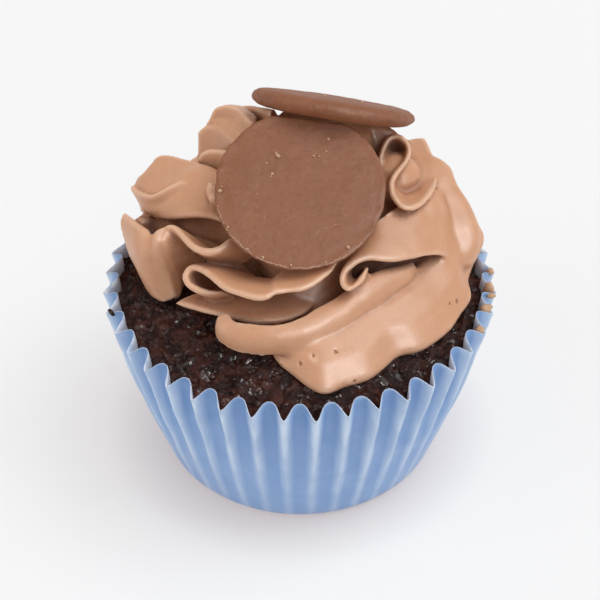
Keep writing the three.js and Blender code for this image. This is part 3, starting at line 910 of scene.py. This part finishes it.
def around(rows, azimuth):  # the rows' values at an azimuth, smooth all the way round
    turned = [(row[0] + turn, *row[1:]) for turn in (-360, 0, 360) for row in rows]
    k = max(k for k, row in enumerate(turned) if row[0] <= azimuth)
    first, here, there, last = turned[k - 1:k + 3]
    span = there[0] - here[0]
    t = (azimuth - here[0]) / span
    values = []
    for a, b, c, d in list(zip(first, here, there, last))[1:]:
        leave = (c - a) / (there[0] - first[0]) * span
        arrive = (d - b) / (last[0] - here[0]) * span
        values.append(b + t * leave + t * t * (3 * (c - b) - 2 * leave - arrive)
                      + t ** 3 * (2 * (b - c) + leave + arrive))
    return values


def skin(rings, name):  # a closed mesh over rings of points, each end filled round its middle
    count = len(rings[0])
    corners = [point for ring in rings for point in ring]
    faces = []
    for row in range(len(rings) - 1):
        for k in range(count):
            a, b = row * count + k, row * count + (k + 1) % count
            faces.append((a, b, b + count, a + count))
    for row in (0, len(rings) - 1):
        corners.append(sum(rings[row], Vector()) / count)
        for k in range(count):
            faces.append((row * count + k, row * count + (k + 1) % count, len(corners) - 1))
    mesh = bpy.data.meshes.new(name)
    mesh.from_pydata(corners, [], faces)
    piece = bpy.data.objects.new(name, mesh)
    bpy.context.collection.objects.link(piece)
    editAll(piece)
    faceOutwards()
    doneEditing()
    return piece


def moundPiece():
    back = lip["back"]
    rows = list(lip["front"])
    azimuth = back["from"]
    while azimuth <= back["to"]:
        wave = back["wave"] * waveAt(azimuth, back["waveLength"], back["crestAt"])
        rows.append((azimuth, back["radius"] + wave, back["height"]))
        azimuth += back["waveLength"] / 4
    rows += lip["left"]
    columns = []
    for k in range(mound["columns"]):
        azimuth = -180 + 360 * k / mound["columns"]
        lipR, lipZ = around(rows, azimuth)
        crestR, crestZ, hollowZ, coreR, coreZ = around(mound["rows"], azimuth)
        under = min(lipR - mound["under"], mound["foot"])
        behind = crestR - mound["behind"]
        section = [mound["bottom"], (under, cakeTop(under) - mound["sunk"])]
        section += [(lipR + out, lipZ + up) for out, up in mound["lip"]]
        section += [(lipR + out * (crestR - lipR), lipZ + up * (crestZ - lipZ)) for out, up in mound["slope"]]
        halfway = mound["dip"] * hollowZ + (1 - mound["dip"]) * coreZ
        section += [(crestR, crestZ), (behind, hollowZ), ((behind + coreR) / 2, halfway), (coreR, coreZ)]
        section += mound["coreTop"]
        columns.append([polar(azimuth, radius, height) for radius, height in section])
    return skin([[column[row] for column in columns] for row in range(len(columns[0]))], "mound")


def rootOf(edge, fold):  # the root of a fold that has no rows of its own
    last = len(edge) - 1
    root = []
    for k, point in enumerate(edge):
        drawn = point.lerp(edge[0].lerp(edge[-1], k / last), fold.get("gather", 0))
        azimuth = azimuthOf(drawn) + fold.get("turn", 0)
        rise = fold["rise"][0] + (fold["rise"][1] - fold["rise"][0]) * k / last
        root.append(polar(azimuth, drawn.xy.length / mm - fold["run"], drawn.z / mm + rise))
    return root


def foldPiece(fold, name):
    steps = fold["steps"]
    edge = curveThrough(fold["edge"], steps)
    root = curveThrough(fold["root"], steps) if "root" in fold else rootOf(edge, fold)
    middle = curveThrough(fold["middle"], steps) if "middle" in fold else None
    rings = []
    for k in range(steps):
        before, after = max(k - 1, 0), min(k + 1, steps - 1)
        along = (edge[after] - edge[before]) + sheet["rootPull"] * (root[after] - root[before])
        end = min(k, steps - 1 - k) / (sheet["ends"] * steps)
        thin = min(1, sheet["thin"] + (1 - sheet["thin"]) * end)
        nose = thin * fold["lip"] / 2 * mm
        if middle:
            halfway = middle[k]
        else:
            face = along.cross(edge[k] - root[k]).normalized()
            halfway = (edge[k] + root[k]) / 2 + face * fold.get("bulge", 0) * mm
        reach = 1 - nose / (edge[k] - root[k]).length

        def across(share, side):  # a point of the sheet's section, on one of its faces
            t = share * reach
            centre = root[k] * (1 - t) * (1 - 2 * t) + halfway * 4 * t * (1 - t) + edge[k] * t * (2 * t - 1)
            slope = root[k] * (4 * t - 3) + halfway * (4 - 8 * t) + edge[k] * (4 * t - 1)
            normal = along.cross(slope).normalized()
            half = thin * (fold["base"] + (fold["lip"] - fold["base"]) * share ** sheet["swell"]) / 2 * mm
            return centre + normal * side * half, slope.normalized(), normal

        ring = [across(share, -1)[0] for share in sheet["shares"]]
        tip, out, normal = across(1, 0)
        for angle in sheet["nose"]:
            turn = math.radians(angle)
            ring.append(tip + nose * (out * math.cos(turn) + normal * math.sin(turn)))
        rings.append(ring + [across(share, 1)[0] for share in reversed(sheet["shares"])])
    return skin(rings, name)


def ruffleFold():
    edge = []
    azimuth = ruffle["from"]
    while azimuth <= ruffle["to"]:
        point = [azimuth]
        for middle, wave, crestAt in (ruffle["radius"], ruffle["height"]):
            point.append(middle + wave * waveAt(azimuth, ruffle["waveLength"], crestAt))
        edge.append(tuple(point))
        azimuth += ruffle["waveLength"] / 4
    return {"edge": edge, **ruffle["sheet"]}


def markBends(piece):  # 0.5 on flat faces, towards 1 on lips and ridges, towards 0 in hollows
    mesh = piece.data
    bend = [0] * len(mesh.vertices)
    count = [0] * len(mesh.vertices)
    places = [vertex.co.copy() for vertex in mesh.vertices]
    normals = [vertex.normal.copy() for vertex in mesh.vertices]
    pairs = [tuple(edge.vertices) for edge in mesh.edges]
    for a, b in pairs:
        along = places[b] - places[a]
        curve = (normals[b] - normals[a]).dot(along) / along.length_squared * mm  # one over the radius in mm
        for k in (a, b):
            bend[k] += curve
            count[k] += 1
    bend = [value / max(number, 1) for value, number in zip(bend, count)]
    for turn in range(cream["evened"]):  # evens it out over the neighbours
        total = list(bend)
        share = [1] * len(bend)
        for a, b in pairs:
            total[a] += bend[b]
            total[b] += bend[a]
            share[a] += 1
            share[b] += 1
        bend = [value / number for value, number in zip(total, share)]
    paint(piece, "bend", [min(1, max(0, 0.5 + cream["bend"] * value)) for value in bend])


def markDepths(piece):  # 0 in the open, towards 1 where other folds stand close over the surface
    vertices = piece.data.vertices
    faces = [face.vertices for face in piece.data.polygons]
    tree = BVHTree.FromPolygons([vertex.co for vertex in vertices], faces)
    rays = cream["rays"]
    directions = []
    for k in range(rays["count"]):  # evenly over a ball, along a spiral
        height = 1 - (2 * k + 1) / rays["count"]
        turn = k * math.pi * (3 - math.sqrt(5))
        flat = math.sqrt(1 - height * height)
        directions.append(Vector((flat * math.cos(turn), flat * math.sin(turn), height)))
    reach = rays["reach"] * mm
    depths = []
    for vertex in vertices:
        start = vertex.co + vertex.normal * rays["start"] * mm
        depth = 0
        for direction in directions:
            distance = tree.ray_cast(start, vertex.normal + direction * rays["spread"], reach)[3]
            if distance is not None:
                depth += 1 - distance / reach
        depths.append(depth / rays["count"])
    # the cream's painted shade follows these values
    paint(piece, "deep", depths)


def soften(piece):  # smooths the places where broad forms run into each other without creases
    soft = piece.vertex_groups.new(name="soft")
    for vertex in piece.data.vertices:
        values = (azimuthOf(vertex.co), vertex.co.xy.length / mm, vertex.co.z / mm)
        for share, *limits in cream["soft"].values():
            for value, (start, full, last, end) in zip(values, limits):
                share *= max(0, min(1, (value - start) / (full - start), (end - value) / (end - last)))
            if share > 0:
                soft.add([vertex.index], share, "REPLACE")
    factor, rounds = cream["softer"]
    modify(piece, "SMOOTH", factor=factor, iterations=rounds, vertex_group="soft")
    applyModifiers(piece)


def airHoles(piece):  # the cutter for the burst bubbles that show
    balls = []
    for azimuth, radius, height, size in cream["bubbles"]:
        place, normal = piece.closest_point_on_mesh(polar(azimuth, radius, height))[1:3]
        centre = place + normal * cream["raised"] * size * mm
        bpy.ops.mesh.primitive_ico_sphere_add(subdivisions=2, radius=size * mm, location=centre)
        balls.append(bpy.context.object)
    cutter = joined(balls)
    bakePlace(cutter)
    return cutter


def gapCutter():
    gap = cream["gap"]
    bpy.ops.mesh.primitive_uv_sphere_add(radius=mm, location=Vector(gap["centre"]) * mm)
    cutter = bpy.context.object
    cutter.scale = gap["half"]
    bakePlace(cutter)
    return cutter


def buildFrosting(cutters):
    pieces = [moundPiece()]
    turns = [360 / coneSides * k for k in range(coneSides)]
    for name, cone in cones.items():
        centre = Vector((*cone["centre"], 0)) * mm
        rings = [[polar(turn, radius, height) + centre for turn in turns] for radius, height in cone["rings"]]
        pieces.append(skin(rings, name))
    pieces.append(foldPiece(ruffleFold(), "ruffle"))
    pieces += [foldPiece(fold, name) for name, fold in folds.items()]
    piece = joined(pieces)
    modify(piece, "REMESH", mode="VOXEL", voxel_size=cream["voxel"] * mm)
    modify(piece, "SMOOTH", iterations=cream["smooth"])
    for name in ("waves", "ripples"):
        roughen(piece, name, cream[name])
    applyModifiers(piece)
    soften(piece)
    helpers = [gapCutter(), airHoles(piece)]
    for cutter in cutters + helpers:
        modify(piece, "BOOLEAN", operation="DIFFERENCE", solver="MANIFOLD", object=cutter)
        applyModifiers(piece)
    for helper in helpers:
        bpy.data.objects.remove(helper)
    modify(piece, "DECIMATE", ratio=cream["keep"])
    applyModifiers(piece)
    markBends(piece)
    markDepths(piece)
    print("frosting faces:", len(piece.data.polygons))
    return finishPiece(piece, "buttercream_swirl", buttercreamLook(), "buttercream", "frosting")


crumbs = {
    "tan": [  # azimuth, radius, height, size
        (4, 35, 35.8, 1.5), (-4.5, 35.3, 35.5, 2.4), (-6.8, 35.2, 35.3, 1.6), (-13.4, 34.2, 35.5, 2.1),
        (-12.2, 35.2, 35, 1.9), (-22.1, 34.7, 35.3, 1.5), (-23.1, 29.8, 41, 0.6), (74.8, 16.3, 64.5, 0.5),
        (55, 19.3, 64, 0.5),
    ],
    "dark": [(-164.5, 35.3, 36, 1.3)],
    "flecks": [  # on the front button: right and up from its middle, then size
        (-3.8, 6.1, 0.75), (-4.1, 6.5, 0.5), (-4.8, 2.7, 0.6), (-5, 2.3, 0.4), (-5.8, 4.8, 0.35),
        (5, 9.3, 0.45), (2.4, 6.1, 0.55), (2.7, 6.5, 0.35), (3.4, 6, 0.35), (4.6, 7, 0.3), (-7.5, -1, 0.3),
        (8.3, -10.9, 0.9), (-13.9, -0.4, 0.7), (-13.6, 0.4, 0.4), (-9, -11.2, 0.5), (-10.6, -9.8, 0.4),
        (-6.4, -12.8, 0.45), (-1.5, -14.1, 0.4), (4.4, -13.6, 0.4), (-12.4, -7.2, 0.4),
    ],
    "within": 35.8,  # nothing reaches out past this radius
    "room": 0.7,  # what a crumb needs of it, as a share of its size
    "raised": 0.2,  # its centre over what it lies on, as a share of its size
    "jagged": 0.13,
    "spans": [(0.8, 1.35), (0.8, 1.35), (0.6, 0.95)],  # its proportions, from and to
    "turn": 6.28,  # the most about each axis, in radians
    "scattered": 130,
    "azimuths": (-172, 20),
    "radii": (20, 30.8),
    "sizes": (0.5, 1.2),
    "look": ((0.44, 0.24, 0.125), (0.70, 0.46, 0.29), 0.6),  # dark, light and roughness
    "seed": 7,
}


def crumbOn(targets, place, size, draw):  # one angular crumb, a little sunk into the nearest target
    found = [target.closest_point_on_mesh(place)[1:3] for target in targets]
    spot, normal = min(found, key=lambda hit: (hit[0] - place).length)
    room = (crumbs["within"] - crumbs["room"] * size) * mm
    spot = Vector((*(spot.xy * min(1, room / max(spot.xy.length, mm))), spot.z))
    centre = spot + normal * size * crumbs["raised"] * mm
    bpy.ops.mesh.primitive_ico_sphere_add(subdivisions=2, radius=size * mm / 2, location=centre)
    piece = bpy.context.object
    piece.scale = [draw.uniform(*span) for span in crumbs["spans"]]
    piece.rotation_euler = [draw.uniform(0, crumbs["turn"]) for axis in range(3)]
    editAll(piece)
    bpy.ops.transform.vertex_random(offset=size * crumbs["jagged"] * mm, seed=draw.randrange(1000))
    doneEditing()
    return piece


def discPoint(x, y):  # a point over the front button's face, from its middle
    lean = math.radians(button["front"]["lean"])
    upwards = Vector((0, math.cos(lean), math.sin(lean)))
    outwards = Vector((0, -math.sin(lean), math.cos(lean)))
    centre = Vector(button["front"]["centre"])
    return (centre + Vector((x, 0, 0)) + y * upwards + button["over"] * outwards) * mm


def buildCrumbs(cake, swirl, paper, discs):
    draw = random.Random(crumbs["seed"])
    pieces = []
    for azimuth, radius, height, size in crumbs["tan"]:
        pieces.append(crumbOn([paper, swirl] + discs, polar(azimuth, radius, height), size, draw))
    for x, y, size in crumbs["flecks"]:
        pieces.append(crumbOn(discs[:1], discPoint(x, y), size, draw))
    finishPiece(joined(pieces), "tan_crumbs", crumbLook("tanCrumb", *crumbs["look"]), "buttercream")
    pieces = []
    for azimuth, radius, height, size in crumbs["dark"]:
        pieces.append(crumbOn([paper], polar(azimuth, radius, height), size, draw))
    for k in range(crumbs["scattered"]):
        radius = draw.uniform(*crumbs["radii"])
        place = polar(draw.uniform(*crumbs["azimuths"]), radius, cakeTop(radius))
        pieces.append(crumbOn([cake], place, draw.uniform(*crumbs["sizes"]), draw))
    finishPiece(joined(pieces), "sponge_crumbs", spongeLook(), "sponge")


threads = {  # shavings and mould flash on the front button: x and y from its middle; the flash runs only along the lower-left rim and is drawn pale there, partly a painted highlight
    "shavings": [
        [(3, -8.6), (3.1, -8), (3.5, -7.4)],
        [(3.6, -7.6), (4.3, -7.2), (5, -7.3)],
        [(5.6, -6.9), (6.2, -6.6), (6.7, -6.6)],
        [(-6.2, -5.6), (-6, -5.1), (-5.7, -4.9)],
        [(1, -8.8), (1.3, -8.5)],
    ],
    "shaving": (0.05, 0.09),  # half its width, from and to
    "flashAndRimHighlight": [(192, 207), (209, 236), (239, 262), (264, 284), (287, 304), (308, 318)],  # in degrees
    "flashAt": (14.5, 14.85),
    "flashSize": (0.05, 0.17),
    "facing": (0, -0.5, 0.87),  # the way the button faces
    "corners": 6,
    "taper": 0.5,  # at its two ends
    "between": 4,  # rings from one spot of a shaving to the next
    "look": ((0.30, 0.13, 0.065), (0.56, 0.35, 0.24), 0.5),
}


def threadPiece(disc, spots, sizes, draw):  # a thin ragged thread lying on the button
    centres = [disc.closest_point_on_mesh(discPoint(*spot))[1] for spot in spots]
    last = len(centres) - 1
    rings = []
    for k, centre in enumerate(centres):
        along = centres[min(k + 1, last)] - centres[max(k - 1, 0)]
        aside = along.cross(Vector(threads["facing"])).normalized()
        above = aside.cross(along).normalized()
        size = draw.uniform(*sizes) * mm * (threads["taper"] if k in (0, last) else 1)
        turns = [math.radians(360 / threads["corners"] * corner) for corner in range(threads["corners"])]
        rings.append([centre + size * (aside * math.cos(turn) + above * math.sin(turn)) for turn in turns])
    return skin(rings, "thread")


def buildThreads(disc):
    draw = random.Random(crumbs["seed"] + 1)
    pieces = []
    for line in threads["shavings"]:
        count = threads["between"]
        parts = [k / count for k in range(count)]
        spots = [Vector(a).lerp(Vector(b), part) for a, b in zip(line, line[1:]) for part in parts]
        pieces.append(threadPiece(disc, spots, threads["shaving"], draw))
    # mould flash along the lower-left rim, pale where the rim catches light: partly a painted highlight
    for start, stop in threads["flashAndRimHighlight"]:
        spots = []
        for degrees in range(start, stop + 1):
            turn = math.radians(degrees)
            radius = draw.uniform(*threads["flashAt"])
            spots.append((radius * math.cos(turn), radius * math.sin(turn)))
        pieces.append(threadPiece(disc, spots, threads["flashSize"], draw))
    look = crumbLook("paleChocolate", *threads["look"])
    finishPiece(joined(pieces), "chocolate_threads", look, "milk_chocolate")


paperCase = buildCase()
print("paper case done")
cake = buildCake()
print("cake done")
discs = [buildButton("front"), buildButton("back")]
print("buttons done")
swirl = buildFrosting(discs)
print("frosting done")
buildCrumbs(cake, swirl, paperCase, discs)
buildThreads(discs[0])
print("crumbs done")


studio = {
    "lampsAway": 0.5,  # metres
    "elevation": 42,
    "distance": 400,
    "target": (0, -2.1, 32.7),
    "lens": 131.52,
    "sensor": 36,
    "world": (1, 0.96, 0.935, 1),
    "worldStrength": 0.545,
    "suns": [  # name, direction, angle, strength, colour, and whether more than its reflection shows
        ("skylight", (0.46, 0, 0.88), 40, 1.5, (0.95, 0.99, 1), True),
        ("fill", (-0.85, -0.25, 0.46), 40, 0.45, (1, 0.97, 0.94), True),
        ("lampShine", (0.42, -0.6, 0.68), 24, 3.6, (1, 1, 1), False),
    ],
}


def sunLight(name, towards, angle, strength, colour, lights):
    lamp = bpy.data.lights.new(name, "SUN")
    lamp.angle = math.radians(angle)
    lamp.energy = strength
    lamp.color = colour
    stand = bpy.data.objects.new(name, lamp)
    bpy.context.collection.objects.link(stand)
    stand.location = Vector(towards) * studio["lampsAway"]
    stand.rotation_euler = (-Vector(towards)).to_track_quat("-Z", "Y").to_euler()
    stand.visible_diffuse = lights


def buildStage():
    bpy.ops.object.select_all(action="DESELECT")
    bpy.ops.mesh.primitive_plane_add(size=table["size"])
    floor = bpy.context.object
    floor.name = "pale_table"
    floor.data.materials.append(tableLook())
    world = bpy.data.worlds.new("studio")
    bpy.context.scene.world = world
    world.use_nodes = True
    background = world.node_tree.nodes["Background"]
    background.inputs["Color"].default_value = studio["world"]
    background.inputs["Strength"].default_value = studio["worldStrength"]
    for sun in studio["suns"]:
        sunLight(*sun)
    bpy.context.scene.view_settings.view_transform = "Standard"


def addCamera():
    tilt = math.radians(studio["elevation"])
    back = Vector((0, -math.cos(tilt), math.sin(tilt)))
    camera = bpy.data.cameras.new("camera")
    camera.lens = studio["lens"]
    camera.sensor_width = studio["sensor"]
    camera.clip_start = 0.01
    holder = bpy.data.objects.new("camera", camera)
    bpy.context.collection.objects.link(holder)
    holder.location = (Vector(studio["target"]) + back * studio["distance"]) * mm
    holder.rotation_euler = (-back).to_track_quat("-Z", "Y").to_euler()
    bpy.context.scene.camera = holder


buildStage()
addCamera()
